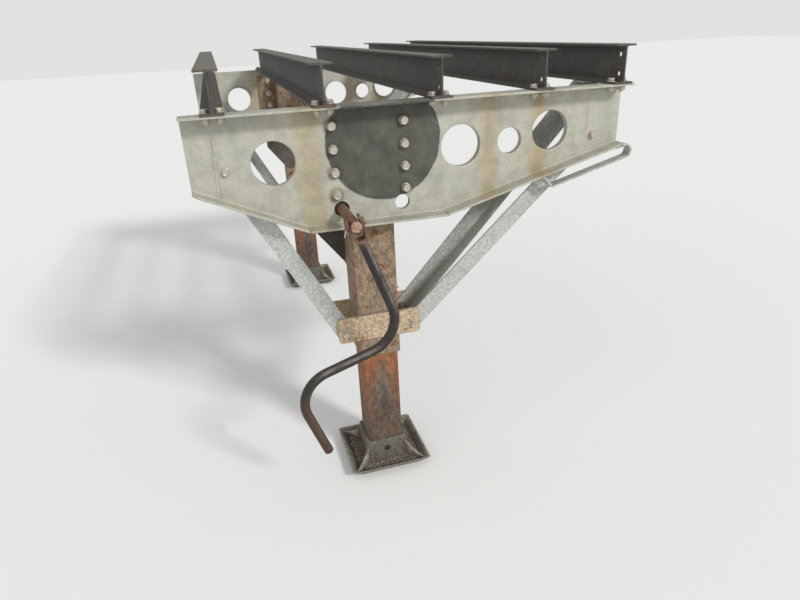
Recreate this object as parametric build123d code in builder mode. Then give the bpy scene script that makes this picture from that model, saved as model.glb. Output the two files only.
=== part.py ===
"""Landing gear of a semi trailer, under the cross-members that it hangs from.

X runs along the trailer and Y across it, from the near side with the crank to the far
side. Z is up, and the origin is on the floor, under the near leg's axis.
"""
from build123d import *
import os
from math import atan2, cos, radians, sin

os.makedirs("parts", exist_ok=True)

# Driving sizes, in millimetres, with heights taken from the floor
track = 1680.0                # leg axis to leg axis
sliding_gap = 0.3             # a telescoping tube in its guides
running_gap = 0.1             # a turning shaft in its bearing
plate_top = 1163.0            # wing plate's top, under the cross-members
plate_left = 463.0            # wing plate's reach from the leg's axis, to the left
plate_right = 756.0           # and to the right
plate_low = 845.0             # lower bend of the wing plate
plate_low_left = 182.0        # how far the lower bend runs, to the left and to the right
plate_low_right = 205.0
plate_end_left = 975.0        # height of the wing plate's ends
plate_end_right = 991.0
plate_thickness = 6.0
lower_flange = 45.0           # bent flanges of the wing plate
top_flange = 60.0
corner_round = 30.0           # corners of the lower outline
bend_radius = 3.0             # inside of the bends
flange_round = 22.0           # free corners at the lower flange's ends
flange_slit = 3.0             # slits that let the flange turn the corners
lip_depth = 12.0              # turned lip of a lightening hole
lip_wall = 4.0
lip_round = 3.0
bolt_radius = 9.0             # holes of the leg and brace bolts
small_bolt_radius = 6.5       # holes in the cross-members

outer_width = 127.0           # square outer tube of a leg
outer_wall = 5.0
outer_corner = 9.0
outer_bottom = 412.0
outer_top = 1135.0
lid_overhang = 4.0
guide_height = 40.0           # guide inside the outer tube's mouth
tube_play = 2.5               # between the two tubes, away from the guides
inner_wall = 6.0              # square inner tube
inner_corner = 7.0
inner_top = 692.0
mount_width = 300.0           # leg's mounting plate
mount_thickness = 8.0
mount_drop = 24.0             # its full width ends this far below the crank shaft
mount_taper = 28.0            # height of the taper at its foot

shaft_offset = 86.0           # crank shaft beside the leg's axis
shaft_height = 890.0
shaft_radius = 14.0
shaft_hole = 21.0             # hole round the shaft in both plates
shaft_reach = 158.0           # wing plate's face to the crank's pin
shaft_nose = 24.0             # shaft's end beyond the pin
boss_length = 18.0            # shaft's bearing on the mounting plate
case_depth = 52.0             # gear case on the inboard face of the leg
case_height = 106.0
case_width = 94.0
case_round = 34.0             # case round the crank shaft
case_corner = 14.0
case_edge = 9.0
case_flange = 12.0            # flange round the case, against the leg
case_flange_depth = 8.0
case_plate_side = 150.0       # plate under the case, to the crank shaft's side
case_plate_low = 795.0        # where its side starts to slope towards the leg
case_plate_foot = 681.0
hub_radius = 24.0             # crank shaft's bearing on the gear case
hub_depth = 8.0
gear_hub_radius = 31.0        # rim round the gears' middle bearing
gear_hub_depth = 4.0

rod_radius = 13.5             # crank handle
crank_arm = 355.0
crank_throw = 340.0
crank_grip = 243.0
crank_turn_angle = 92.0       # turn at each bend
crank_bend = 98.0
crank_lean = 19.4             # arm from upright, as the gears hold it
crank_pin_radius = 6.0
crank_pin_head = 6.0
fork_wall = 6.0
fork_length = 40.0            # pin to the fork's web
fork_gap = 1.0                # fork's cheek beside the shaft
fork_depth = 30.0             # cheek's width, seen from the side
fork_nose = 22.0              # cheek's end above the pin
fork_round = 12.0

bracket_width = 254.0         # plate that takes the braces' lower ends
bracket_height = 80.0
bracket_thickness = 8.0
bracket_round = 12.0
bracket_edge = 30.0           # lower bolts above the bracket's lower edge
brace_width = 50.0            # angle section
brace_wall = 6.0
brace_end = 28.0              # bolt to the brace's end
brace_low_reach = 105.0       # lower bolt, from the leg's axis
brace_low_height = 505.0

shoe_width = 262.0            # dished sand shoe
shoe_flare = 28.0             # how far its sides lean out
shoe_height = 30.0
shoe_wall = 6.0
shoe_round = 9.0              # its corners, at the base and at the rim
collar_wall = 9.0
collar_top = 90.0
collar_gap = 0.5
shoe_pin_radius = 11.0
shoe_pin_height = 54.0
shoe_pin_recess = 3.0         # pin's ends inside the collar's faces
rib_thickness = 8.0
rib_top = 80.0
rib_hollow = 12.0             # how far its top edge is hollowed
rib_inset = 16.0              # rib's tip from the pan's corner
rib_tip = 24.0                # its height

coupling_radius = 27.0        # sleeves on the cross shaft
coupling_length = 80.0
cross_shaft_radius = 21.0
cross_shaft_wall = 4.0
face_gap = 5.0                # turning sleeve beside the gear case

member_height = 102.0         # cross-members
member_width = 57.0
member_flange = 5.0
member_web = 4.0
member_fillet = 5.0
member_end = 140.0            # end, outboard of a leg's axis
member_bolt_gap = 34.0        # between the two bolts over a wing plate
member_end_inset = 25.0       # rail clip's holes from the end
member_end_spacing = 50.0

holder_reach = 4.0            # crank holder past the wing plate's end, before its turn
holder_width = 32.0
holder_wall = 5.0
holder_gap = 32.0             # clear height of the holder's loop
holder_length = 262.0
holder_seat = 24.0            # welded end under the flange

# (name, distance from the leg's axis along X), from left to right
member_table = (("1", -383.0), ("2", -118.0), ("3", 187.0), ("4", 479.0), ("5", 718.0))
# (distance from the leg's axis along X, height, radius) of the lightening holes
hole_table = ((-253.0, 1028.0, 57.0), (261.0, 1028.0, 57.0),
              (408.0, 1028.0, 36.0), (534.0, 1046.0, 55.0))
# (name, upper bolt's distance from the leg's axis along X, its height)
brace_table = (("left", -374.0, 1020.0), ("right", 672.0, 1022.0))
bolt_spread = 97.0            # leg bolts' columns from the leg's axis
bolt_pitch = 60.0
first_bolt = 40.0             # lowest leg bolts above the crank shaft
bolt_count = 4

# Places that follow from the sizes
tube_face = outer_width / 2
leg_flat = tube_face - outer_corner
cavity_width = outer_width - 2 * outer_wall
inner_width = cavity_width - 2 * tube_play
inner_bore = inner_width - 2 * inner_wall
mount_low = shaft_height - mount_drop
bolt_rows = [shaft_height + first_bolt + bolt_pitch * row for row in range(bolt_count)]
shoe_base = shoe_width - 2 * shoe_flare
plate_back = tube_face + mount_thickness
plate_face = plate_back + plate_thickness
outer_bend = 0.9 * plate_thickness
pin_reach = plate_face + shaft_reach
bracket_low = brace_low_height - bracket_edge
case_face = tube_face + case_flange_depth + case_depth
hub_face = case_face + hub_depth
coupling_start = hub_face + face_gap
collar_width = inner_width + 2 * collar_gap + 2 * collar_wall
far_mirror = Plane.XZ.offset(-track / 2)


def across(outboard):
    """Upright plane this far outboard of the near leg's axis, facing outboard."""
    return Plane(origin=(0, -outboard, 0), x_dir=(1, 0, 0), z_dir=(0, -1, 0))


def level(height):
    """Level plane at this height, its origin on the near leg's axis."""
    return Plane.XY.offset(height)


def runs_level(edge):
    """True for an edge that runs nearer to level than to upright."""
    return abs(edge.tangent_at(0).Z) < 0.8


# Wing plate: a web with a flange bent outboard along its top and along its lower edges
low_points = ((-plate_left, plate_end_left), (-plate_low_left, plate_low),
              (plate_low_right, plate_low), (plate_right, plate_end_right))
with BuildPart() as wing_plate:
    with BuildSketch(across(plate_back)):
        with BuildLine():
            low_line = FilletPolyline(*low_points, radius=corner_round)
            Polyline(low_line @ 1, (plate_right, plate_top), (-plate_left, plate_top), low_line @ 0)
        make_face()
    extrude(amount=plate_thickness)
    with BuildSketch(across(plate_back)):
        with BuildLine():
            FilletPolyline(*low_points, radius=corner_round)
            offset(amount=plate_thickness, side=Side.LEFT)
        make_face()
    extrude(amount=plate_thickness + lower_flange)
    with BuildSketch(across(plate_back)):
        with Locations(((plate_right - plate_left) / 2, plate_top - plate_thickness / 2)):
            Rectangle(plate_left + plate_right, plate_thickness)
    extrude(amount=plate_thickness + top_flange)
    back_edges = wing_plate.edges().filter_by_position(Axis.Y, -plate_back, -plate_back)
    fillet(back_edges.filter_by(runs_level), radius=outer_bend)
    face_edges = wing_plate.edges().filter_by_position(Axis.Y, -plate_face, -plate_face)
    fillet(face_edges.filter_by(runs_level), radius=bend_radius)
    free_y = -plate_face - lower_flange
    free_edges = wing_plate.edges().filter_by_position(Axis.Y, free_y, free_y)
    fillet(free_edges.filter_by(GeomType.LINE).sort_by(SortBy.LENGTH)[:2], radius=flange_round)
    with BuildSketch(across(plate_face + lower_flange)):
        with Locations(*low_points[1:3]):
            Rectangle(flange_slit, 4 * plate_thickness)
    extrude(amount=bend_radius - lower_flange, mode=Mode.SUBTRACT)
    with BuildSketch(across(plate_back)):
        for along, height, radius in hole_table:
            with Locations((along, height)):
                Circle(radius + lip_wall)
    extrude(amount=-lip_depth)
    with BuildSketch(across(plate_face)):
        for along, height, radius in hole_table:
            with Locations((along, height)):
                Circle(radius)
    extrude(amount=-plate_thickness - lip_depth, mode=Mode.SUBTRACT)
    rims = wing_plate.edges().filter_by(GeomType.CIRCLE)
    fillet(rims.filter_by_position(Axis.Y, -plate_face, -plate_face), radius=lip_round)
    with BuildSketch(across(plate_back - mount_thickness)):
        for _, along, height in brace_table:
            with Locations((along, height)):
                Circle(brace_width / 2)
    extrude(amount=mount_thickness)
    with BuildSketch(across(plate_face)):
        with Locations((-shaft_offset, shaft_height), (shaft_offset, shaft_height)):
            Circle(shaft_hole)
        for height in bolt_rows:
            with Locations((-bolt_spread, height), (bolt_spread, height)):
                Circle(bolt_radius)
        for _, along, height in brace_table:
            with Locations((along, height)):
                Circle(bolt_radius)
    extrude(amount=-plate_thickness - mount_thickness, mode=Mode.SUBTRACT)
    with BuildSketch(level(plate_top)):
        for _, along in member_table:
            with Locations((along, -plate_face - top_flange / 2)):
                with GridLocations(member_bolt_gap, 0, 2, 1):
                    Circle(small_bolt_radius)
    extrude(amount=-plate_thickness, mode=Mode.SUBTRACT)

# Mounting plate of the leg, with the crank shaft's bearing on its back
with BuildPart() as mount_plate:
    with BuildSketch(across(tube_face)):
        with BuildLine():
            Polyline((-mount_width / 2, outer_top), (-mount_width / 2, mount_low),
                     (-tube_face, mount_low - mount_taper), (tube_face, mount_low - mount_taper),
                     (mount_width / 2, mount_low), (mount_width / 2, outer_top), close=True)
        make_face()
        for height in bolt_rows:
            with Locations((-bolt_spread, height), (bolt_spread, height)):
                Circle(bolt_radius, mode=Mode.SUBTRACT)
        with Locations((shaft_offset, shaft_height)):
            Circle(shaft_hole, mode=Mode.SUBTRACT)
    extrude(amount=mount_thickness)
    with BuildSketch(across(tube_face)):
        with Locations((-shaft_offset, shaft_height)):
            Circle(shaft_hole)
    extrude(amount=-boss_length)
    with BuildSketch(across(tube_face - boss_length)):
        with Locations((-shaft_offset, shaft_height)):
            Circle(shaft_radius + running_gap)
    extrude(amount=boss_length + mount_thickness, mode=Mode.SUBTRACT)

# Outer tube, with a guide in its mouth and a lid
with BuildPart() as outer_tube:
    with BuildSketch(level(outer_bottom)):
        RectangleRounded(outer_width, outer_width, outer_corner)
        Rectangle(cavity_width, cavity_width, mode=Mode.SUBTRACT)
    extrude(amount=outer_top - outer_bottom)
    with BuildSketch(level(outer_bottom)):
        Rectangle(cavity_width, cavity_width)
        Rectangle(inner_width + 2 * sliding_gap, inner_width + 2 * sliding_gap, mode=Mode.SUBTRACT)
    extrude(amount=guide_height)
    with BuildSketch(level(outer_top)):
        RectangleRounded(outer_width + 2 * lid_overhang, outer_width + 2 * lid_overhang,
                         outer_corner + lid_overhang)
    extrude(amount=outer_wall)

def case_outline(grow):
    """Draws the gear case's outline in the open sketch, larger by this much all round."""
    corner_gaps = (case_width - 2 * case_corner, case_height - 2 * case_corner)
    with Locations((0, shaft_height)):
        with GridLocations(*corner_gaps, 2, 2):
            Circle(case_corner + grow)
    with Locations((-shaft_offset, shaft_height)):
        Circle(case_round + grow)
    make_hull()


# Gear case on the leg's inboard face, with its flange, its plate and its bearings' rims
with BuildPart() as gear_case:
    with BuildSketch(across(-tube_face)):
        case_outline(0)
    extrude(amount=-case_flange_depth - case_depth)
    fillet(gear_case.faces().sort_by(Axis.Y)[-1].edges(), radius=case_edge)
    with BuildSketch(across(-tube_face)):
        case_outline(case_flange)
        with BuildLine():
            Polyline((-case_plate_side, shaft_height), (-case_plate_side, case_plate_low),
                     (-tube_face, case_plate_foot), (leg_flat, case_plate_foot),
                     (leg_flat, shaft_height), close=True)
        make_face()
    extrude(amount=-case_flange_depth)
    with BuildSketch(across(-tube_face)):
        with Locations((-shaft_offset, shaft_height)):
            Circle(hub_radius)
    extrude(amount=tube_face - hub_face)
    with BuildSketch(across(-case_face)):
        with Locations((0, shaft_height)):
            Circle(gear_hub_radius)
    extrude(amount=-gear_hub_depth)
    with BuildSketch(across(-tube_face)):
        with Locations((-shaft_offset, shaft_height)):
            Circle(shaft_radius + running_gap)
    extrude(amount=tube_face - hub_face, mode=Mode.SUBTRACT)

# Brackets that take the braces' lower ends, on both faces of the leg
with BuildPart() as outer_bracket:
    with BuildSketch(across(tube_face)):
        with Locations((0, bracket_low + bracket_height / 2)):
            RectangleRounded(bracket_width, bracket_height, bracket_round)
        with Locations((-brace_low_reach, brace_low_height), (brace_low_reach, brace_low_height)):
            Circle(bolt_radius, mode=Mode.SUBTRACT)
    extrude(amount=bracket_thickness)
with BuildPart() as inner_bracket:
    add(outer_bracket.part)
    mirror(about=Plane.XZ, mode=Mode.REPLACE)


def brace_plane(low, high, outboard):
    """Plane on a brace, its origin on the lower bolt and its x towards the upper one."""
    start = Vector(low[0], -outboard, low[1])
    end = Vector(high[0], -outboard, high[1])
    return Plane(origin=start, x_dir=end - start, z_dir=(0, -1, 0)), (end - start).length


# Braces from the outboard bracket up to the wing plate
braces = {}
for name, high_along, high_height in brace_table:
    side = 1 if high_along > 0 else -1
    plane, span = brace_plane((side * brace_low_reach, brace_low_height),
                              (high_along, high_height), tube_face)
    with BuildPart() as brace:
        with BuildSketch(plane):
            with Locations((span / 2, 0)):
                Rectangle(span + 2 * brace_end, brace_width)
            with Locations((0, 0), (span, 0)):
                Circle(bolt_radius, mode=Mode.SUBTRACT)
        extrude(amount=-brace_wall)
        with BuildSketch(plane):
            with Locations((span / 2, -side * (brace_width - brace_wall) / 2)):
                Rectangle(span + 2 * brace_end, brace_wall)
        extrude(amount=-brace_width)
    braces[name] = brace

# Inboard brace, from the inboard bracket up to the last cross-member
last_member = member_table[-1][1]
plane, span = brace_plane((brace_low_reach, brace_low_height),
                          (last_member, plate_top), -tube_face)
with BuildPart() as inboard_brace:
    with BuildSketch(plane):
        with Locations((span / 2, 0)):
            Rectangle(span + 2 * brace_end, brace_width)
        with Locations((0, 0)):
            Circle(bolt_radius, mode=Mode.SUBTRACT)
    extrude(amount=brace_wall)
    with BuildSketch(plane):
        with Locations((span / 2, -(brace_width - brace_wall) / 2)):
            Rectangle(span + 2 * brace_end, brace_wall)
    extrude(amount=brace_width)
    split(bisect_by=Plane.XY.offset(plate_top), keep=Keep.BOTTOM)
    with BuildSketch(level(plate_top)):
        with Locations((last_member, tube_face - brace_width / 2)):
            Rectangle(member_width, brace_width)
    extrude(amount=-brace_wall)

# Inner tube, with the guide on its top that fills the outer tube
guide_width = cavity_width - 2 * sliding_gap
with BuildPart() as inner_tube:
    with BuildSketch(level(shoe_wall)):
        RectangleRounded(inner_width, inner_width, inner_corner)
        Rectangle(inner_bore, inner_bore, mode=Mode.SUBTRACT)
    extrude(amount=inner_top - shoe_wall)
    with BuildSketch(level(inner_top - guide_height)):
        Rectangle(guide_width, guide_width)
        Rectangle(inner_bore, inner_bore, mode=Mode.SUBTRACT)
    extrude(amount=guide_height)
    with Locations((0, 0, shoe_pin_height)):
        Cylinder(shoe_pin_radius + running_gap, 2 * inner_width, rotation=(90, 0, 0),
                 mode=Mode.SUBTRACT)

# Sand shoe: a dished pan, a collar round the tube and a rib to each corner
with BuildPart() as shoe:
    with BuildSketch(level(0)):
        RectangleRounded(shoe_base, shoe_base, shoe_round)
    with BuildSketch(level(shoe_height)):
        RectangleRounded(shoe_width, shoe_width, shoe_round)
    loft()
    with BuildSketch(level(shoe_wall)):
        RectangleRounded(shoe_base - shoe_wall, shoe_base - shoe_wall, shoe_round - shoe_wall / 2)
    with BuildSketch(level(shoe_height)):
        RectangleRounded(shoe_width - 2 * shoe_wall, shoe_width - 2 * shoe_wall,
                         shoe_round - shoe_wall / 2)
    loft(mode=Mode.SUBTRACT)
    with BuildSketch(level(shoe_wall)):
        RectangleRounded(collar_width, collar_width, collar_wall)
    extrude(amount=collar_top - shoe_wall)
    rib_start = collar_width / 2 ** 0.5 - collar_wall
    corner_cut = shoe_round * (2 ** 0.5 - 1)
    rib_foot = shoe_base / 2 ** 0.5 - corner_cut - shoe_wall / 2
    rib_end = shoe_width / 2 ** 0.5 - corner_cut - rib_inset
    for quarter in range(4):
        turned = level(0).rotated((0, 0, 45 + 90 * quarter))
        rib_plane = Plane(origin=turned.origin, x_dir=turned.x_dir, z_dir=-turned.y_dir)
        with BuildSketch(rib_plane):
            with BuildLine():
                hollow = SagittaArc((rib_start, rib_top), (rib_end, rib_tip), -rib_hollow)
                Polyline(hollow @ 1, (rib_foot, shoe_wall / 2), (rib_start, shoe_wall / 2),
                         hollow @ 0)
            make_face()
        extrude(amount=rib_thickness / 2, both=True)
    with BuildSketch(level(shoe_wall)):
        Rectangle(inner_width + 2 * collar_gap, inner_width + 2 * collar_gap)
    extrude(amount=collar_top - shoe_wall, mode=Mode.SUBTRACT)
    with Locations((0, 0, shoe_pin_height)):
        Cylinder(shoe_pin_radius + running_gap, 2 * collar_width, rotation=(90, 0, 0),
                 mode=Mode.SUBTRACT)

# Pin that carries the leg on its shoe
with BuildPart() as shoe_pin:
    with Locations((0, 0, shoe_pin_height)):
        Cylinder(shoe_pin_radius, collar_width - 2 * shoe_pin_recess, rotation=(90, 0, 0))

pairs = {"wing_plate": wing_plate, "mount_plate": mount_plate, "outer_tube": outer_tube,
         "gear_case": gear_case, "outer_bracket": outer_bracket, "inner_bracket": inner_bracket,
         "left_brace": braces["left"], "right_brace": braces["right"],
         "inboard_brace": inboard_brace, "inner_tube": inner_tube, "shoe": shoe,
         "shoe_pin": shoe_pin}
for name, near in pairs.items():
    with BuildPart() as far:
        add(near.part)
        mirror(about=far_mirror, mode=Mode.REPLACE)
    near.part.label = f"near_{name}"
    export_step(near.part, f"parts/near_{name}.step")
    far.part.label = f"far_{name}"
    export_step(far.part, f"parts/far_{name}.step")

# Cross-members: rolled I-sections, bolted to both wing plates
for name, along in member_table:
    middle = plate_top + member_height / 2
    with BuildPart() as member:
        with BuildSketch(across(member_end)) as section:
            with Locations((along, plate_top + member_flange / 2),
                           (along, plate_top + member_height - member_flange / 2)):
                Rectangle(member_width, member_flange)
            with Locations((along, middle)):
                Rectangle(member_web, member_height)
            roots = section.vertices().filter_by_position(Axis.X, along - member_web,
                                                          along + member_web)
            fillet(roots, radius=member_fillet)
        extrude(amount=-track - 2 * member_end)
        flange_place = plate_face + top_flange / 2
        with BuildSketch(level(plate_top)):
            with Locations((along, -flange_place), (along, track + flange_place)):
                with GridLocations(member_bolt_gap, 0, 2, 1):
                    Circle(small_bolt_radius)
        extrude(amount=member_flange, mode=Mode.SUBTRACT)
        end_place = member_end - member_end_inset
        with BuildSketch(Plane.YZ.offset(along - member_web)):
            with Locations((-end_place, middle), (track + end_place, middle)):
                with GridLocations(0, member_end_spacing, 1, 2):
                    Circle(small_bolt_radius)
        extrude(amount=2 * member_web, mode=Mode.SUBTRACT)
    member.part.label = f"cross_member_{name}"
    export_step(member.part, f"parts/cross_member_{name}.step")

# The crank handle leans at rest, and its plane is across the crank shaft at the pin
lean = radians(crank_lean)
pin_axis = (cos(lean), 0, sin(lean))
crank_plane = Plane(origin=(-shaft_offset, -pin_reach, shaft_height), x_dir=pin_axis,
                    z_dir=(0, -1, 0))
bend = radians(crank_turn_angle)
throw_side = crank_throw * sin(bend)
throw_down = crank_throw * cos(bend)

# Turning line: the crank shaft, the cross shaft and the stub in the far gear case
stub_end = coupling_start + coupling_length / 2
with BuildPart() as crank_shaft:
    with BuildSketch(across(pin_reach + shaft_nose)):
        with Locations((-shaft_offset, shaft_height)):
            Circle(shaft_radius)
    extrude(amount=-pin_reach - shaft_nose - stub_end)
    with Locations(crank_plane):
        Cylinder(crank_pin_radius + running_gap, 4 * shaft_radius, rotation=(0, 90, 0),
                 mode=Mode.SUBTRACT)
crank_shaft.part.label = "crank_shaft"
export_step(crank_shaft.part, "parts/crank_shaft.step")

with BuildPart() as stub_shaft:
    with BuildSketch(across(tube_face)):
        with Locations((-shaft_offset, shaft_height)):
            Circle(shaft_radius)
    extrude(amount=-tube_face - stub_end)
    mirror(about=far_mirror, mode=Mode.REPLACE)
stub_shaft.part.label = "stub_shaft"
export_step(stub_shaft.part, "parts/stub_shaft.step")

with BuildPart() as near_coupling:
    with BuildSketch(across(-coupling_start)):
        with Locations((-shaft_offset, shaft_height)):
            Circle(coupling_radius)
            Circle(shaft_radius, mode=Mode.SUBTRACT)
    extrude(amount=-coupling_length / 2)
    with BuildSketch(across(-stub_end)):
        with Locations((-shaft_offset, shaft_height)):
            Circle(coupling_radius)
            Circle(cross_shaft_radius, mode=Mode.SUBTRACT)
    extrude(amount=-coupling_length / 2)
near_coupling.part.label = "near_coupling"
export_step(near_coupling.part, "parts/near_coupling.step")

with BuildPart() as far_coupling:
    add(near_coupling.part)
    mirror(about=far_mirror, mode=Mode.REPLACE)
far_coupling.part.label = "far_coupling"
export_step(far_coupling.part, "parts/far_coupling.step")

with BuildPart() as cross_shaft:
    with BuildSketch(across(-stub_end)):
        with Locations((-shaft_offset, shaft_height)):
            Circle(cross_shaft_radius)
            Circle(cross_shaft_radius - cross_shaft_wall, mode=Mode.SUBTRACT)
    extrude(amount=2 * stub_end - track)
cross_shaft.part.label = "cross_shaft"
export_step(cross_shaft.part, "parts/cross_shaft.step")

# Crank handle: a round bar with two bends, and a fork of flat bar at the shaft
fork_inside = shaft_radius + fork_gap
fork_outside = fork_inside + fork_wall
fork_shoulder = shaft_nose + 2 * fork_gap
fork_foot = rod_radius + fork_wall / 3
with BuildPart() as crank_handle:
    with BuildLine(crank_plane):
        rod = FilletPolyline((0, -fork_length), (0, -crank_arm),
                             (-throw_side, -crank_arm - throw_down),
                             (-throw_side, -crank_arm - throw_down - crank_grip),
                             radius=crank_bend)
    with BuildSketch(Plane(origin=rod @ 0, z_dir=rod % 0)):
        Circle(rod_radius)
    sweep(path=rod)
    fillet(crank_handle.edges().sort_by(Axis.Z)[0], radius=rod_radius / 3)
    with BuildSketch(crank_plane):
        with BuildLine():
            Polyline((-fork_outside, fork_nose), (-fork_outside, -fork_shoulder),
                     (-fork_foot, -fork_length - fork_wall), (fork_foot, -fork_length - fork_wall),
                     (fork_outside, -fork_shoulder), (fork_outside, fork_nose), close=True)
        make_face()
        with BuildLine():
            Polyline((-fork_inside, fork_nose), (-fork_inside, -fork_shoulder),
                     (fork_wall - fork_foot, -fork_length), (fork_foot - fork_wall, -fork_length),
                     (fork_inside, -fork_shoulder), (fork_inside, fork_nose), close=True)
        make_face(mode=Mode.SUBTRACT)
    extrude(amount=fork_depth / 2, both=True)
    cheek_ends = crank_handle.edges().group_by(Axis((0, 0, 0), crank_plane.y_dir))[-1]
    fillet(cheek_ends.sort_by(SortBy.LENGTH)[:4], radius=fork_round)
    with Locations(crank_plane):
        Cylinder(crank_pin_radius + running_gap, 4 * fork_outside, rotation=(0, 90, 0),
                 mode=Mode.SUBTRACT)
crank_handle.part.label = "crank_handle"
export_step(crank_handle.part, "parts/crank_handle.step")

with BuildPart() as crank_pin:
    with Locations(crank_plane):
        Cylinder(crank_pin_radius, 2 * fork_outside + 2 * crank_pin_head, rotation=(0, 90, 0))
crank_pin.part.label = "crank_pin"
export_step(crank_pin.part, "parts/crank_pin.step")

# Crank holder: a strap under the wing plate's right flange, round its end
slope_end = Vector(plate_right, -plate_face - lower_flange / 2, plate_end_right)
slope_start = Vector(plate_low_right, slope_end.Y, plate_low)
holder_plane = Plane(origin=slope_end, x_dir=slope_end - slope_start, z_dir=(0, -1, 0))
strap_mid = -holder_wall / 2
strap_low = strap_mid - holder_gap - holder_wall
holder_turn = (strap_mid - strap_low) / 2
with BuildPart() as crank_holder:
    with BuildSketch(holder_plane):
        with BuildLine():
            top = Line((-holder_seat, strap_mid), (holder_reach, strap_mid))
            turn = TangentArc(top @ 1, (holder_reach, strap_low), tangent=top % 1)
            back = Line(turn @ 1, (-holder_length + holder_turn, strap_low))
            Line(back @ 1, (-holder_length, strap_mid))
            offset(amount=holder_wall / 2)
        make_face()
    extrude(amount=holder_width / 2, both=True)
crank_holder.part.label = "crank_holder"
export_step(crank_holder.part, "parts/crank_holder.step")
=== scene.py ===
"""Finishes, fasteners, welds and dirt for the landing gear of a semi trailer.

Lengths are in metres. X runs along the trailer, Y across it from the near leg to the far
one, and Z up, from the floor under the near leg's axis.
"""
from __future__ import annotations

import logging
from collections.abc import Callable, Sequence
from dataclasses import dataclass, replace
from enum import Enum
from math import cos, pi, radians, sin, sqrt

import bpy
import numpy as np
from bpy.types import ID, Material, Node, NodeSocket, NodeTree, Object
from mathutils import Matrix, Vector


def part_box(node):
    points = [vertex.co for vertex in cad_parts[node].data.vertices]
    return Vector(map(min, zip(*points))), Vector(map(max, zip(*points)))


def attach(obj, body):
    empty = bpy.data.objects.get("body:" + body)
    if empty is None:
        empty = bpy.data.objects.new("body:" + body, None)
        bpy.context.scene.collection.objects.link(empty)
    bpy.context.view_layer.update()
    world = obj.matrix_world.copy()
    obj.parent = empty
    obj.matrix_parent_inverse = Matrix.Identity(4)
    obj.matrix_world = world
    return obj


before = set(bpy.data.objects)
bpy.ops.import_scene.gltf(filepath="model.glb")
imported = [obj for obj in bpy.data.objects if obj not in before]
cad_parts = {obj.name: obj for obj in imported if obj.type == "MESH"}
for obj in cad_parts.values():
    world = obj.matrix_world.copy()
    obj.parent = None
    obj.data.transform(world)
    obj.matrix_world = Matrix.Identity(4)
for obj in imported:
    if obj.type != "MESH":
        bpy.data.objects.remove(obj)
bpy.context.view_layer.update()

log = logging.getLogger("landing_gear")

Array = np.ndarray
Pair = tuple[float, float]
Point = tuple[float, float, float]
Colour = Point

near_foot = np.mean(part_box("near_shoe"), axis=0)
far_foot = np.mean(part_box("far_shoe"), axis=0)
track = float(far_foot[1] - near_foot[1])


def rgb(*screen: int) -> Colour:
    """Linear colour that shows as a screen colour, whose parts go from 0 to 255."""
    share = np.array(screen) / 255
    return tuple(np.where(share <= 0.04045, share / 12.92, ((share + 0.055) / 1.055) ** 2.4))


def circle(count: int) -> Array:
    """Even angles once round."""
    return np.linspace(0, 2 * pi, count, endpoint=False)


def unit(ways: Array) -> Array:
    """Directions divided by their lengths."""
    return ways / np.linalg.norm(ways, axis=-1, keepdims=True)


def square_to(ways: Array, guide: Array) -> tuple[Array, Array]:
    """Guide crossed with each way, and the way crossed with that: they turn as X, Y, Z."""
    first = unit(np.cross(guide, ways))
    return first, np.cross(ways, first)


def linked(name: str, data: ID) -> Object:
    """Puts an object into the scene.

    Args:
        name: Its name.
        data: Its mesh, lamp or lens.

    Returns:
        The object.
    """
    made = bpy.data.objects.new(name, data)
    bpy.context.scene.collection.objects.link(made)
    return made


class Side(Enum):
    """Side of the trailer that a leg stands on. The far one mirrors the near one."""

    NEAR = "near"
    FAR = "far"

    def turn(self, ways: Array) -> Array:
        """Near side's directions on this side."""
        return np.array(ways, dtype=float) * (1, 1 if self is Side.NEAR else -1, 1)

    def place(self, points: Array) -> Array:
        """Near side's places on this side."""
        return self.turn(points) + (0, 0 if self is Side.NEAR else track, 0)

    def named(self, part: str) -> str:
        """Name of this side's node, piece or body."""
        return f"{self.value}_{part}"


class Slot(Enum):
    """Material slots of the record."""

    ZINC = "galvanised"
    LEG = "leg_paint"
    RUST = "rusty_steel"
    DARK = "dark_steel"


no_triangles = np.zeros((0, 3), dtype=int)


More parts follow.
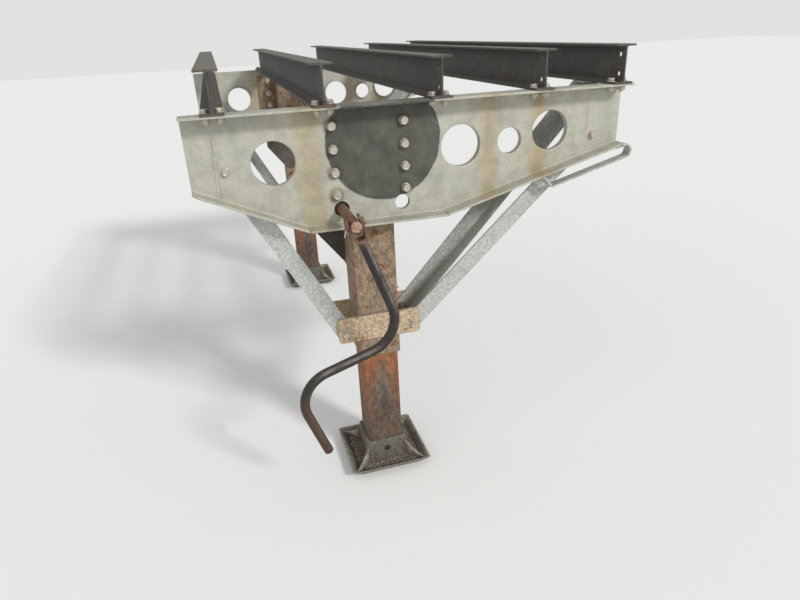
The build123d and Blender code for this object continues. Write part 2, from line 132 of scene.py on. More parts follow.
@dataclass
class Shape:
    """Points of a skin with its four-sided and three-sided faces."""

    points: Array
    quads: Array
    triangles: Array

    @staticmethod
    def loft(grid: Array, closed: bool = False) -> Shape:
        """Skin through rings of points, each joined to the next.

        Args:
            grid: Rings by points by 3, anticlockwise about the way from ring to ring.
            closed: Whether the last ring meets the first. If not, a fan closes each.

        Returns:
            The skin, faces outwards.
        """
        rows, around = grid.shape[:2]
        index = np.arange(rows * around).reshape(rows, around)
        ahead = np.roll(index, -1, axis=1)
        corners = (index, ahead, np.roll(ahead, -1, axis=0), np.roll(index, -1, axis=0))
        quads = np.stack(corners, axis=-1)
        points = grid.reshape(-1, 3)
        if closed:
            return Shape(points, quads.reshape(-1, 4), no_triangles)
        first = np.full(around, rows * around)
        fans = (np.stack((ahead[0], index[0], first), axis=-1),
                np.stack((index[-1], ahead[-1], first + 1), axis=-1))
        points = np.concatenate((points, grid[:1].mean(axis=1), grid[-1:].mean(axis=1)))
        return Shape(points, quads[:-1].reshape(-1, 4), np.concatenate(fans))

    @staticmethod
    def turned(rows: Sequence[Point], around: int) -> Shape:
        """Closed skin about the Z axis, from rows of radius, height and six-sided share.

        The radius at angle a is the row's own, times 1 where it is round, and times cos 30
        over the cosine of the angle from the nearest flat's middle where it is six-sided.

        Args:
            rows: Rows from the foot to the top.
            around: Points round each row.

        Returns:
            The skin.
        """
        radius, height, share = np.array(rows).T[:, :, None]
        angles = circle(around)
        six = cos(pi / 6) / np.cos(np.mod(angles, pi / 3) - pi / 6)
        radii = radius * (1 - share + share * six)
        heights = np.broadcast_to(height, radii.shape)
        return Shape.loft(np.stack((radii * np.cos(angles), radii * np.sin(angles), heights), -1))

    def copies(self, places: Array, axes: Array, seed: int) -> Shape:
        """Copies of a skin made about the Z axis, each turned about its own by chance.

        A point of a copy is the copy's place plus X times a chance direction square to its
        axis, Y times the one square to both, and Z times the axis.

        Args:
            places: Where each copy's foot stands.
            axes: Way that each copy's Z axis points.
            seed: Start of the chance angles.

        Returns:
            All the copies as one skin.
        """
        spins = np.random.default_rng(seed).uniform(0, 2 * pi, len(places))[:, None]
        across, beside = square_to(axes, np.eye(3)[np.abs(axes).argmin(axis=1)])
        spun = across * np.cos(spins) + beside * np.sin(spins)
        bases = np.stack((spun, np.cross(axes, spun), axes), axis=1)
        points = np.einsum("pk,ckx->cpx", self.points, bases) + places[:, None, :]
        steps = np.arange(len(places))[:, None, None] * len(self.points)
        return Shape(points.reshape(-1, 3), (self.quads + steps).reshape(-1, 4),
                     (self.triangles + steps).reshape(-1, 3))

    def piece(self, name: str, material: Material, body: str = "", slot: Slot = Slot.ZINC,
              crease: float = 35.0) -> None:
        """Makes the skin an object at the origin, with its place in its mesh.

        Args:
            name: Name of the piece.
            material: Its material.
            body: Body that carries it. Without one, it belongs to the stage.
            slot: Record's slot for its finish. Not used.
            crease: Angle in degrees past which an edge stays sharp.
        """
        mesh = bpy.data.meshes.new(name)
        mesh.from_pydata(self.points.tolist(), [], self.quads.tolist() + self.triangles.tolist())
        mesh.shade_smooth()
        mesh.set_sharp_from_angle(angle=radians(crease))
        mesh.materials.append(material)
        made = linked(name, mesh)
        if body:
            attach(made, body)
        log.info("piece %s on %s, %d faces", name, body or "the stage", len(mesh.polygons))


def tube(path: Array, radii: Array, closed: bool = False, around: int = 8) -> Shape:
    """Round skin along a path.

    Ring i stands square to the path at point i, and its point at angle a is the path's point
    plus the radius times (cos a times one direction square to the path, plus sin a times the
    other). One guide gives all the directions, so the rings don't twist.

    Args:
        path: Points of the centre line.
        radii: A radius for each point.
        closed: Whether the path is a hoop.
        around: Points round each ring.

    Returns:
        The skin.
    """
    ways = np.gradient(path, axis=0)
    if closed:
        ways = np.roll(path, -1, axis=0) - np.roll(path, 1, axis=0)
    ways = unit(ways)
    first, second = square_to(ways, np.eye(3)[np.abs(ways).sum(axis=0).argmin()])
    angles = circle(around)[None, :, None]
    ring = np.cos(angles) * first[:, None] + np.sin(angles) * second[:, None]
    return Shape.loft(path[:, None] + radii[:, None, None] * ring, closed)


@dataclass(frozen=True)
class Bead:
    """Bead of weld metal, laid in overlapping ripples."""

    radius: float = 0.0042
    pitch: float = 0.0055
    ripple: float = 0.1
    points_each: int = 3
    knot_gap: int = 9
    swell: Pair = (0.88, 1.14)
    sway: float = 0.0004
    sway_way: Point = (0.6, 0.0, 0.8)
    end_share: float = 0.55
    end_growth: float = 0.25

    def shape(self, corners: Array, seed: int) -> Shape:
        """Bead through even points along a line.

        Its radius is the bead's own, times one plus the ripple times the cosine of the
        distance in pitches, times a slow chance swell, and it draws in at both ends.

        Args:
            corners: Corners of the line.
            seed: Start of the chance changes.

        Returns:
            The bead's skin.
        """
        runs = np.linalg.norm(np.diff(corners, axis=0), axis=1)
        reach = np.concatenate(([0.0], np.cumsum(runs)))
        count = int(round(reach[-1] / (self.pitch / self.points_each))) + 1
        marks = np.linspace(0, reach[-1], max(3, count))
        path = np.stack([np.interp(marks, reach, column) for column in corners.T], axis=1)
        step = np.arange(len(path))
        knots = np.linspace(0, step[-1], max(4, len(path) // self.knot_gap))
        chance = np.random.default_rng(seed)
        swell = np.interp(step, knots, chance.uniform(*self.swell, len(knots)))
        sway = np.interp(step, knots, chance.normal(0, self.sway, len(knots)))
        to_end = np.minimum(step, step[::-1])
        drawn = np.clip(self.end_share + to_end * self.end_growth, 0.0, 1.0)
        ripple = 1 + self.ripple * np.cos(step * 2 * pi / self.points_each)
        return tube(path + sway[:, None] * self.sway_way, self.radius * ripple * swell * drawn)


@dataclass(frozen=True)
class HexHead:
    """Hexagon head or nut on its washer, from the face that it lies on outwards.

    Its foot, crown and hollow are shares of the flats, its bevel of the height, and the
    thread's bevel and nose of the thread's height and radius.
    """

    flats: float = 0.024
    height: float = 0.0125
    washer: float = 0.0165
    low: float = 0.003
    edge: float = 0.0008
    thread: float = 0.0
    thread_height: float = 0.0
    foot: float = 0.49
    crown: float = 0.475
    hollow: Pair = (0.40, 0.37)
    bevel: float = 0.13
    thread_bevel: float = 0.85
    thread_nose: float = 0.8

    def shape(self) -> Shape:
        """Washer, hexagon with its chamfers, and the thread's end or a hollow.

        Returns:
            The skin, about the Z axis.
        """
        corner = self.flats / sqrt(3)
        high = self.low + self.height
        bevel = self.height * self.bevel
        rows = [(self.washer - self.edge, 0.0, 0), (self.washer, self.edge, 0),
                (self.washer, self.low - self.edge, 0), (self.washer - self.edge, self.low, 0),
                (self.flats * self.foot, self.low, 0), (corner, self.low + bevel, 1),
                (corner, high - bevel, 1), (self.flats * self.crown, high, 0)]
        if self.thread:
            rows += [(self.thread, high, 0),
                     (self.thread, high + self.thread_height * self.thread_bevel, 0),
                     (self.thread * self.thread_nose, high + self.thread_height, 0)]
        else:
            rim, floor = np.array(self.hollow) * self.flats
            rows += [(rim, high, 0), (floor, high - self.edge, 0)]
        return Shape.turned(rows, around=24)


@dataclass(frozen=True)
class Signal:
    """Output of a node. A sum on it adds the node that it needs to the same tree."""

    node: Node
    output: int | str = 0

    def __getitem__(self, output: int | str) -> Signal:
        """Another output of the same node."""
        return Signal(self.node, output)

    def add(self, kind: str, feeds: Feeds | None = None, **settings: object) -> Signal:
        """Adds a node to the same tree."""
        return add(self.node.id_data, kind, feeds, **settings)

    def math(self, operation: str, other: Value = 0.0, clamp: bool = False) -> Signal:
        """Named sum of this and another number."""
        feeds = {0: self, 1: other}
        return self.add("ShaderNodeMath", feeds, operation=operation, use_clamp=clamp)

    def __add__(self, other: Value) -> Signal:
        """This plus the other."""
        return self.math("ADD", other)

    def __sub__(self, other: Value) -> Signal:
        """This less the other."""
        return self.math("SUBTRACT", other)

    def __rsub__(self, other: float) -> Signal:
        """The other less this."""
        return self.add("ShaderNodeMath", {0: other, 1: self}, operation="SUBTRACT")

    def __mul__(self, other: Value) -> Signal:
        """This times the other."""
        return self.math("MULTIPLY", other)

    def __abs__(self) -> Signal:
        """This without its sign."""
        return self.math("ABSOLUTE")

    def max(self, other: Value) -> Signal:
        """The larger of the two."""
        return self.math("MAXIMUM", other)

    def eased(self, low: Value, high: Value) -> Signal:
        """From 0 to 1, smoothly, while this goes from low to high."""
        feeds = {"Value": self, "From Min": low, "From Max": high}
        return self.add("ShaderNodeMapRange", feeds, interpolation_type="SMOOTHSTEP")

    def within(self, low: Value, high: Value) -> Signal:
        """From 1 to 0, smoothly, while this goes from low to high."""
        return 1.0 - self.eased(low, high)

    def vector(self, operation: str, other: Value, output: str = "Value") -> Signal:
        """Named sum of this vector and another."""
        feeds = {0: self, 1: other}
        return self.add("ShaderNodeVectorMath", feeds, operation=operation)[output]

    def scaled(self, *factors: float) -> Signal:
        """This vector with X, Y and Z times their factors."""
        return self.vector("MULTIPLY", factors, "Vector")

    def dot(self, way: Value) -> Signal:
        """Length of this vector along a unit direction."""
        return self.vector("DOT_PRODUCT", way)

    def distance(self, point: Point) -> Signal:
        """Distance of this place from a point."""
        return self.vector("DISTANCE", point)

    def parts(self) -> Signal:
        """X, Y and Z of this vector, or red, green and blue of this colour, as outputs."""
        return self.add("ShaderNodeSeparateXYZ", {0: self})

    def facing(self) -> Signal:
        """Direction that the surface faces."""
        return self.add("ShaderNodeNewGeometry")["Normal"]

    def noise(self, *values: Value) -> Signal:
        """Smooth noise at this place, of a scale, a detail, a roughness and a distortion."""
        labels = ("Scale", "Detail", "Roughness", "Distortion")
        return self.add("ShaderNodeTexNoise", {"Vector": self, **dict(zip(labels, values))})

    def ragged(self, height: float, *values: Value) -> Signal:
        """Noise with those values, from half the height below 0 to half above."""
        return (self.noise(*values) - 0.5) * height

    def cells(self, scale: Value) -> Signal:
        """Distance from the nearest of scattered points, with its chance Color."""
        return self.add("ShaderNodeTexVoronoi", {"Vector": self, "Scale": scale})

    def between(self, first: Colour, second: Colour) -> Signal:
        """Mix of two colours, with this share of the second."""
        return self.add("ShaderNodeMix", {0: self, 6: first, 7: second}, data_type="RGBA")[2]

    def under(self, share: Value, colour: Value, way: str = "MIX") -> Signal:
        """This colour with a share of another on it."""
        feeds = {0: share, 6: self, 7: colour}
        return self.add("ShaderNodeMix", feeds, data_type="RGBA", blend_type=way)[2]


Value = Signal | float | Sequence[float]
Feeds = dict[int | str, Value]


def feed(socket: NodeSocket, value: Value) -> None:
    """Joins an output to a socket, or sets the socket to a plain value.

    Args:
        socket: Input to feed.
        value: Output, number, vector or colour.
    """
    if isinstance(value, Signal):
        socket.id_data.links.new(value.node.outputs[value.output], socket)
    elif socket.type == "RGBA":
        socket.default_value = (*value, 1.0)
    else:
        socket.default_value = value


def add(tree: NodeTree, kind: str, feeds: Feeds | None = None,
        **settings: object) -> Signal:
    """Adds a node to a tree.

    Args:
        tree: The tree.
        kind: Type of the node.
        feeds: Values of its inputs, by their names or numbers.
        **settings: Properties of the node.

    Returns:
        The node's first output.
    """
    node = tree.nodes.new(kind)
    for name, value in settings.items():
        setattr(node, name, value)
    for name, value in (feeds or {}).items():
        feed(node.inputs[name], value)
    return Signal(node)


class Inputs(Signal):
    """Inputs of a shader node group, with a way to fill each group."""

    def give(self, **outputs: Signal) -> None:
        """Makes the group's outputs.

        Args:
            **outputs: Value of each, by its name. One that isn't Colour or Normal is a number.
        """
        kinds = {"Colour": "NodeSocketColor", "Normal": "NodeSocketVector"}
        for label in outputs:
            kind = kinds.get(label, "NodeSocketFloat")
            self.node.id_data.interface.new_socket(label, in_out="OUTPUT", socket_type=kind)
        self.add("NodeGroupOutput", outputs)

    def blotches(self) -> None:
        """Uneven patches: coarse and fine noise together, cut off at a height."""
        coarse = self["Place"].noise(self["Scale"], 5.0, 0.6, 0.4)
        fine = self["Place"].noise(self["Scale"] * 9.0, 3.0, 0.6)
        low = 0.78 - self["Cover"] * 0.56
        self.give(Mask=(coarse * 0.78 + fine * 0.22).eased(low, low + self["Soft"]))

    def grain(self) -> None:
        """Fine and coarse noise, and their shades: dark where one is low, light where high.

        A shade is 1 less 1.2 times the contrast, plus 2.2 times the contrast times the eased
        noise. The group puts out the two noises and the product of their shades.
        """
        fine = self["Place"].noise(self["Fine"], 4.0, 0.7)
        coarse = self["Place"].noise(self["Coarse"], 4.0, 0.6)
        dark = 1.0 - self["Contrast"] * 1.2
        span = self["Contrast"] * 2.2
        shades = (dark + span * fine.eased(0.36, 0.66), dark + span * coarse.eased(0.34, 0.64))
        self.give(Fine=fine, Coarse=coarse, Shade=shades[0] * shades[1])

    def runs(self) -> None:
        """Runs that water leaves: noise drawn out upwards, broken by a coarser noise."""
        low = 0.72 - self["Cover"] * 0.3
        lines = self["Place"].scaled(1.0, 1.0, 0.06).noise(self["Scale"], 4.0, 0.65)
        patches = self["Place"].noise(5.0, 2.0, 0.5)
        self.give(Mask=lines.eased(low, low + 0.16) * patches.eased(0.35, 0.62))

    def rust(self) -> None:
        """Rust: brown, orange and dark by noise, where patches and specks meet."""
        place, scale, cover = (self[name] for name in ("Place", "Scale", "Cover"))
        patches = blotches.on(place, Scale=scale, Cover=cover, Soft=0.1)
        fine = place.noise(scale * 14.0, 4.0, 0.7)
        mask = patches.max(fine.eased(0.86 - cover * 0.34, 0.88))
        tone = place.noise(scale * 4.0, 3.0, 0.55).eased(0.38, 0.62)
        warm = tone.between(rgb(84, 54, 36), rgb(150, 88, 46))
        colour = warm.under(fine.eased(0.35, 0.7), rgb(112, 72, 48))
        self.give(Colour=colour, Mask=mask, Height=mask * fine)

    def dust(self) -> None:
        """Dust: thick on what faces up, thin and patchy elsewhere, with a fine grain."""
        up = self.facing().dot((0.0, 0.0, 1.0)).eased(0.25, 0.95)
        patches = self["Place"].noise(11.0, 5.0, 0.65)
        both = (patches.eased(0.4, 0.75) * 0.45).max(up * patches.eased(0.15, 0.5))
        fine = self["Place"].noise(420.0, 2.0, 0.7).eased(0.2, 0.62)
        self.give(Mask=(both * fine).math("MULTIPLY", self["Cover"], clamp=True))

    def specks(self) -> None:
        """Small splashed specks: scattered spots, of which a share shows."""
        spots = self["Place"].cells(self["Scale"])
        chance = spots["Color"].parts()
        shown = chance[0].math("LESS_THAN", self["Cover"])
        self.give(Mask=spots.math("LESS_THAN", chance[1] * 0.3) * shown)

    def scratches(self) -> None:
        """Fine scratches two ways: thin ridges of stretched noise, in patches."""
        ways = []
        for turn in (0.5, -0.9):
            feeds = {"Vector": self["Place"], "Rotation": (turn, turn * 1.3, turn)}
            turned = self.add("ShaderNodeVectorRotate", feeds, rotation_type="EULER_XYZ")
            lines = turned.scaled(0.05, 1.0, 1.0).noise(self["Scale"], 2.0, 0.5, 0.1)
            ways.append(abs(lines - 0.5).within(0.002, 0.012))
        low = 0.75 - self["Cover"] * 0.4
        here = self["Place"].noise(14.0, 3.0, 0.6).eased(low, low + 0.1)
        self.give(Mask=ways[0].max(ways[1]) * here)

    def edges(self) -> None:
        """Worn edges: where a rounded normal leaves the face's own, broken by noise."""
        soft = self.add("ShaderNodeBevel", {"Radius": self["Width"]}, samples=4)
        turned = (1.0 - soft.dot(self.facing())).eased(0.004, 0.12)
        broken = self["Place"].noise(130.0, 4.0, 0.7).eased(0.36, 0.6)
        self.give(Mask=turned * broken, Normal=soft)


@dataclass(frozen=True)
class Effect:
    """Shader node group that several finishes share, with its numbers' usual values."""

    name: str
    fill: Callable[[Inputs], None]
    numbers: dict[str, float]

    def tree(self) -> NodeTree:
        """Makes the group once, and finds it again by its name.

        Returns:
            The group.
        """
        found = bpy.data.node_groups.get(self.name)
        if found:
            return found
        tree = bpy.data.node_groups.new(self.name, "ShaderNodeTree")
        tree.interface.new_socket("Place", in_out="INPUT", socket_type="NodeSocketVector")
        for label, usual in self.numbers.items():
            made = tree.interface.new_socket(label, in_out="INPUT", socket_type="NodeSocketFloat")
            made.default_value = usual
        self.fill(Inputs(tree.nodes.new("NodeGroupInput")))
        return tree

    def on(self, place: Signal, **values: Value) -> Signal:
        """Puts the group into a place's tree."""
        return place.add("ShaderNodeGroup", {"Place": place, **values}, node_tree=self.tree())


blotches = Effect("blotches", Inputs.blotches, {"Scale": 8.0, "Cover": 0.5, "Soft": 0.16})
grain = Effect("grain", Inputs.grain, {"Fine": 260.0, "Coarse": 50.0, "Contrast": 0.12})
runs = Effect("runs", Inputs.runs, {"Scale": 60.0, "Cover": 0.5})
rust = Effect("rust", Inputs.rust, {"Scale": 10.0, "Cover": 0.4})
dust = Effect("dust", Inputs.dust, {"Cover": 0.7})
specks = Effect("specks", Inputs.specks, {"Scale": 220.0, "Cover": 0.2})
scratches = Effect("scratches", Inputs.scratches, {"Scale": 90.0, "Cover": 0.5})
edges = Effect("edges", Inputs.edges, {"Width": 0.002})


@dataclass
class Layers:
    """Colour, roughness and height of a finish while its layers are laid on."""

    place: Signal
    colour: Signal
    rough: Signal
    height: Signal

    def lay(self, mask: Value, colour: Value, rough: float) -> None:
        """Lays a colour and its roughness where a mask says."""
        self.colour = self.colour.under(mask, colour)
        self.rough = self.rough + (rough - self.rough) * mask

    def lift(self, amount: Signal, factor: float) -> None:
        """Adds to the height, times a factor."""
        self.height = self.height + amount * factor


@dataclass(frozen=True)
class Finish:
    """Weathered metal or paint: mottled, run, rusted, dusted and worn at its edges."""

    name: str
    base: Colour
    second: Colour
    mottle: float
    rough: float
    metal: float = 0.25
    runs: float = 0.1
    run_tint: Colour = rgb(96, 88, 74)
    rust: float = 0.0
    rust_scale: float = 30.0
    dust: float = 0.4
    dust_tint: Colour = rgb(172, 158, 134)
    specks: float = 0.0
    speck_tint: Colour = rgb(205, 197, 178)
    scratches: float = 0.3
    scratch_tint: Colour = rgb(196, 190, 176)
    wear: float = 0.4
    wear_tint: Colour = rgb(190, 184, 170)
    edge: float = 0.0018
    grain: float = 260.0
    grain_draw: float = 1.0
    contrast: float = 0.12
    relief: float = 0.0004

    def own_marks(self, layers: Layers) -> None:
        """Lays what only this finish has, under the rust and the dust."""

    def weather(self, layers: Layers) -> None:
        """Lays runs, scratches, rust, dust and specks on, in that order.

        Args:
            layers: The layers so far.
        """
        place = layers.place
        layers.lay(runs.on(place, Scale=55.0, Cover=self.runs) * 0.5, self.run_tint, 0.7)
        lines = scratches.on(place, Scale=70.0, Cover=self.scratches)
        layers.lay(lines * 0.5, self.scratch_tint, 0.45)
        layers.lift(lines, -0.25)
        if self.rust:
            rusted = rust.on(place, Scale=self.rust_scale, Cover=self.rust)
            layers.lay(rusted["Mask"], rusted["Colour"], 0.86)
            layers.lift(rusted["Height"], 1.2)
        dusty = dust.on(place, Cover=self.dust)
        layers.lay(dusty, self.dust_tint, 0.95)
        layers.lift(dusty, 0.3)
        if self.specks:
            spots = specks.on(place, Scale=260.0, Cover=self.specks)
            layers.lay(spots * 0.7, self.speck_tint, 0.9)

    def material(self) -> Material:
        """Makes the material once, and finds it again by its name.

        Returns:
            The material.
        """
        found = bpy.data.materials.get(self.name)
        if found:
            return found
        made = bpy.data.materials.new(self.name)
        made.use_nodes = True
        shader = made.node_tree.nodes["Principled BSDF"]
        place = add(made.node_tree, "ShaderNodeTexCoord")["Object"]
        grained = grain.on(place.scaled(1.0, 1.0, self.grain_draw), Fine=self.grain,
                           Coarse=self.mottle * 5.0, Contrast=self.contrast)
        mottle = blotches.on(place, Scale=self.mottle, Cover=0.5, Soft=0.3)
        layers = Layers(place, mottle.between(self.base, self.second),
                        grained["Coarse"] * 0.16 + (self.rough - 0.08), grained["Fine"] * 0.5)
        self.own_marks(layers)
        self.weather(layers)
        layers.colour = layers.colour.under(1.0, grained["Shade"], "MULTIPLY")
        worn = edges.on(place, Width=self.edge)
        layers.lay(worn * self.wear, self.wear_tint, self.rough - 0.12)
        bump = place.add("ShaderNodeBump", {
            "Distance": self.relief, "Height": layers.height, "Normal": worn["Normal"]})
        for label, value in (("Base Color", layers.colour), ("Roughness", layers.rough),
                             ("Normal", bump), ("Metallic", self.metal)):
            feed(shader.inputs[label], value)
        return made


@dataclass(frozen=True)
class WingZinc(Finish):
    """Dull zinc of a wing plate, with tan stains, and the round mark on the near one.

    Each band has the X of its middle, its half width and its share of the stain.
    """

    stain_colour: Colour = rgb(168, 148, 108)
    bands: tuple[Point, ...] = (
        (-0.160, 0.060, 0.55), (0.342, 0.050, 0.55), (0.500, 0.055, 0.75))
    bolt_colour: Colour = rgb(112, 92, 70)
    bolt_spread: float = 0.097
    bolt_first: float = 0.930
    bolt_pitch: float = 0.060
    marked: bool = False
    mark_colour: Colour = rgb(56, 56, 50)
    mark_centre: Point = (0.042, 0.0, 1.060)
    mark_radius: float = 0.160

    def own_marks(self, layers: Layers) -> None:
        """Lays tan stains and bands, a brown ring round each leg bolt and the round mark.

        Args:
            layers: The layers so far.
        """
        drawn = layers.place.scaled(1.0, 1.0, 0.35)
        stains = blotches.on(drawn, Scale=9.0, Cover=0.36, Soft=0.3)
        layers.lay(stains * 0.3, self.stain_colour, 0.75)
        parts = layers.place.parts()
        swayed = parts["X"] + drawn.ragged(0.07, 30.0, 4.0, 0.65)
        for middle, half, share in self.bands:
            band = abs(swayed - middle).within(0.0, half)
            layers.lay(band * share, self.stain_colour, 0.8)
        beside = abs(parts["X"]) - self.bolt_spread
        above = (parts["Z"] - self.bolt_first).math("PINGPONG", self.bolt_pitch / 2)
        reach = (beside * beside + above * above).math("SQRT")
        in_rows = parts["Z"].eased(self.bolt_first - 0.03, self.bolt_first - 0.02)
        layers.lay(reach.within(0.015, 0.027) * in_rows * 0.55, self.bolt_colour, 0.8)
        if self.marked:
            self.lay_mark(layers)

    def lay_mark(self, layers: Layers) -> None:
        """Lays the greasy round mark: within its radius, uneven along its rim.

        Args:
            layers: The layers so far.
        """
        reach = layers.place.scaled(1.0, 0.0, 1.0).distance(self.mark_centre)
        reach = reach + layers.place.ragged(0.010, 45.0, 4.0, 0.6)
        inside = reach.within(self.mark_radius - 0.004, self.mark_radius)
        thick = layers.place.noise(16.0, 4.0, 0.6) * 0.32
        cover = thick.math("ADD", 0.75, clamp=True)
        layers.lay(inside * cover, self.mark_colour, 0.55)


@dataclass(frozen=True)
class SlidingSteel(Finish):
    """Bare steel of an inner tube: orange rust above, grey and greasy below.

    Each patch has its middle's X and Z, its half width, its half height and its colour.
    """

    rust_high: Colour = rgb(152, 98, 62)
    rust_bright: Colour = rgb(194, 124, 70)
    rust_low: Colour = rgb(94, 77, 65)
    high: float = 0.42
    low: float = 0.20
    patches: tuple[tuple[float, float, float, float, Colour], ...] = (
        (0.002, 0.300, 0.030, 0.078, rgb(106, 99, 88)),
        (0.004, 0.205, 0.018, 0.062, rgb(64, 58, 52)))

    def own_marks(self, layers: Layers) -> None:
        """Lays rust by height and along the sides, and ragged ovals down the middle.

        Args:
            layers: The layers so far.
        """
        place = layers.place
        parts = place.parts()
        drawn = place.scaled(1.0, 1.0, 0.55)
        torn = drawn.ragged(0.30, 26.0, 6.0, 0.7)
        height = parts["Z"] + torn + abs(parts["X"]) * 1.6
        layers.lay(0.75, self.rust_low, 0.8)
        share = height.eased(self.low + 0.04, self.high + 0.04)
        layers.lay(share * 0.9, self.rust_high, 0.85)
        top = (height + torn).eased(self.high, self.high + 0.10)
        broken = drawn.noise(48.0, 5.0, 0.7).eased(0.42, 0.62)
        layers.lay(top * broken * 0.7, self.rust_bright, 0.9)
        ragged = place.ragged(3.4, 55.0, 6.0, 0.72)
        for x, z, half_x, half_z, colour in self.patches:
            oval = place.scaled(1 / half_x, 0.0, 1 / half_z)
            reach = oval.distance((x / half_x, 0.0, z / half_z)) + ragged
            layers.lay(reach.within(0.4, 1.3) * 0.6, colour, 0.5)


@dataclass(frozen=True)
class CrankSteel(Finish):
    """Dark steel of the crank, rubbed in patches, with a painted highlight on faces turned
    outwards and up, brown-red on its grip.
    """

    rubbed: Colour = rgb(126, 102, 84)
    # Painted highlight: a pale colour laid on faces turned along the next direction, standing in
    # for gloss on the rod.
    outer: Colour = rgb(168, 164, 158)
    highlight_way: Point = (0.30, -0.76, 0.57)
    grip_colour: Colour = rgb(84, 58, 48)
    grip_start: float = -0.5322459
    grip_way: Point = (0.332, 0.0, -0.943)
    fork_colour: Colour = rgb(122, 90, 70)
    fork_middle: Point = (-0.086, -0.2355, 0.890)
    fork_reach: float = 0.052

    def own_marks(self, layers: Layers) -> None:
        """Lays the rubbed patches, the painted highlight, the fork's rust and the grip's colour.

        Args:
            layers: The layers so far.
        """
        place = layers.place
        patches = blotches.on(place, Scale=17.0, Cover=0.42, Soft=0.2)
        layers.lay(patches * 0.55, self.rubbed, 0.5)
        # Painted highlight: paler where the surface faces one fixed direction, as a gloss
        # highlight would be.
        painted_highlight = place.facing().dot(self.highlight_way).eased(0.74, 0.99)
        broken = place.noise(26.0, 5.0, 0.65).eased(0.25, 0.6)
        layers.lay(painted_highlight * broken * 0.6, self.outer, 0.4)
        torn = place.noise(60.0, 3.0, 0.55) * 0.03
        on_grip = (place.dot(self.grip_way) - self.grip_start + torn).eased(0.045, 0.085)
        layers.lay(on_grip * 0.8, self.grip_colour, 0.55)
        away = place.distance(self.fork_middle) + torn
        on_fork = away.within(self.fork_reach, self.fork_reach + 0.035)
        layers.lay(on_fork * 0.85, self.fork_colour, 0.7)


@dataclass(frozen=True)
class ShaftSteel(Finish):
    """Rusty shaft steel, paler on the crank shaft's outer end."""

    end_colour: Colour = rgb(186, 152, 126)
    end_reach: Pair = (0.2579, 0.2591)

    def own_marks(self, layers: Layers) -> None:
        """Lays the outer end's colour, over the last stretch against the Y axis."""
        out = layers.place.dot((0.0, -1.0, 0.0)).eased(*self.end_reach)
        layers.lay(out * 0.85, self.end_colour, 0.6)


@dataclass(frozen=True)
class MountPaint(Finish):
    """Leg paint, with painted shade, near black, round the crank shaft where it goes through the
    plates.
    """

    # Painted shade: near-black colour round the shaft, seen through the wing plate's hole.
    shaft_hole_shade: Colour = rgb(34, 31, 28)
    shaft: Point = (-0.086, 0.0, 0.890)
    reach: float = 0.024

    def own_marks(self, layers: Layers) -> None:
        """Lays the painted shade, near black, within its reach of the shaft."""
        away = layers.place.scaled(1.0, 0.0, 1.0).distance(self.shaft)
        layers.lay(away.within(self.reach, self.reach + 0.006), self.shaft_hole_shade, 0.45)


@dataclass(frozen=True)
class ShoeSteel(Finish):
    """Steel of a shoe, paler on its ribs: partly rubbing wear, partly painted light, as if the
    ribs were sunlit.
    """

    # Partly painted light: the ribs are paler than wear alone would make them, as sunlit ribs
    # look.
    rib_light_and_wear: Colour = rgb(178, 170, 152)
    collar_half: float = 0.0705
    pan_top: float = 0.030

    def own_marks(self, layers: Layers) -> None:
        """Lays the paler colour, partly wear and partly painted light, above the pan and outside
        the collar's square.

        The distance along Y from the nearer leg's axis is how far the distance from the middle
        between the legs differs from half the track.

        Args:
            layers: The layers so far.
        """
        parts = layers.place.parts()
        beside = abs(abs(parts["Y"] - track / 2) - track / 2)
        reach = abs(parts["X"]).max(beside)
        outside = reach.eased(self.collar_half, self.collar_half + 0.006)
        above = parts["Z"].eased(self.pan_top - 0.010, self.pan_top + 0.006)
        broken = layers.place.noise(34.0, 5.0, 0.65).eased(0.28, 0.58)
        layers.lay(outside * above * broken * 0.85, self.rib_light_and_wear, 0.7)


@dataclass(frozen=True)
class Soil(Finish):
    """Dry soil and gravel dust, its dark base colours partly painted shade of the pan."""

    grains: float = 320.0
    pale: Colour = rgb(176, 164, 146)
    dark: Colour = rgb(70, 62, 56)

    def own_marks(self, layers: Layers) -> None:
        """Lays pale and dark grains, each in a share of the cells.

        Args:
            layers: The layers so far.
        """
        cells = layers.place.cells(self.grains)
        chance = cells["Color"].parts()
        layers.lay(chance[0].eased(0.7, 0.9), self.pale, 0.95)
        layers.lay(chance[1].eased(0.75, 0.95), self.dark, 0.95)
        layers.lift(cells, 1.5)


zinc = WingZinc(
    "wing_zinc", rgb(179, 178, 164), rgb(160, 159, 148), mottle=6.0, rough=0.55, metal=0.2,
    runs=0.4, rust=0.12, rust_scale=9.0, dust=0.3, dust_tint=rgb(170, 162, 144),
    scratches=0.35, wear=0.6, wear_tint=rgb(208, 205, 192), contrast=0.08)
marked_zinc = replace(zinc, name="near_wing_zinc", marked=True)
brace_zinc = Finish(
    "brace_zinc", rgb(184, 186, 180), rgb(152, 155, 151), mottle=22.0, rough=0.5,
    runs=0.35, rust=0.14, rust_scale=14.0, dust=0.3, specks=0.14, grain=190.0, contrast=0.14)
leg_paint = MountPaint(
    "tan_leg_paint", rgb(142, 122, 99), rgb(122, 104, 86), mottle=17.0, rough=0.75,
    metal=0.1, runs=0.6, run_tint=rgb(134, 92, 60), rust=0.42, rust_scale=27.0, dust=0.3,
    dust_tint=rgb(160, 146, 124), specks=0.35, wear=0.55, wear_tint=rgb(126, 90, 62),
    grain=240.0, grain_draw=0.6, contrast=0.24, relief=0.0006)
